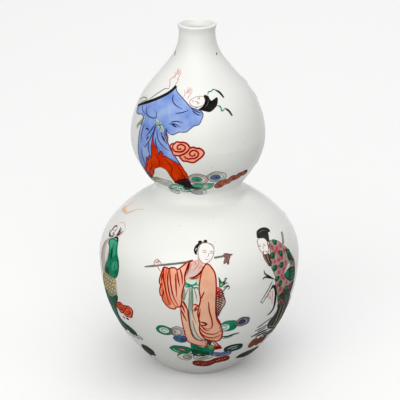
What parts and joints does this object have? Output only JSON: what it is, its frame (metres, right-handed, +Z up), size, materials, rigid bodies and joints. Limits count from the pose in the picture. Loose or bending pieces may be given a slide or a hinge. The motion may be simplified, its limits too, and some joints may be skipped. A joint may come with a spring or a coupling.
{
  "type": "double gourd vase",
  "caption": "Porcelain double gourd vase with two swelling bulbs, a narrow waist, a short neck with a turned-out lip and a recessed foot; holds single stems or stands as ornament.",
  "frame": {"origin": "centre of the foot rim, on the surface the vase stands on", "axes": "+Z up along the axis of the vase, -Y towards the viewer of the picture, +X to the viewer's right"},
  "size_m": [0.1466, 0.1466, 0.26],
  "materials": {
    "porcelain_body": "fired bare porcelain, matt",
    "luting_slip": "fired slip, matt",
    "porcelain_glaze": "clear glaze with a faint cool tint, glossy"
  },
  "bodies": {
    "root": {"base_section": "porcelain_body", "shoulder_section": "porcelain_body", "upper_belly_section": "porcelain_body", "crown_section": "porcelain_body", "neck_section": "porcelain_body", "belly_luting_slip": "luting_slip", "waist_luting_slip": "luting_slip", "upper_luting_slip": "luting_slip", "neck_luting_slip": "luting_slip", "outer_glaze": "porcelain_glaze", "base_glaze": "porcelain_glaze"}
  },
  "joints": []
}
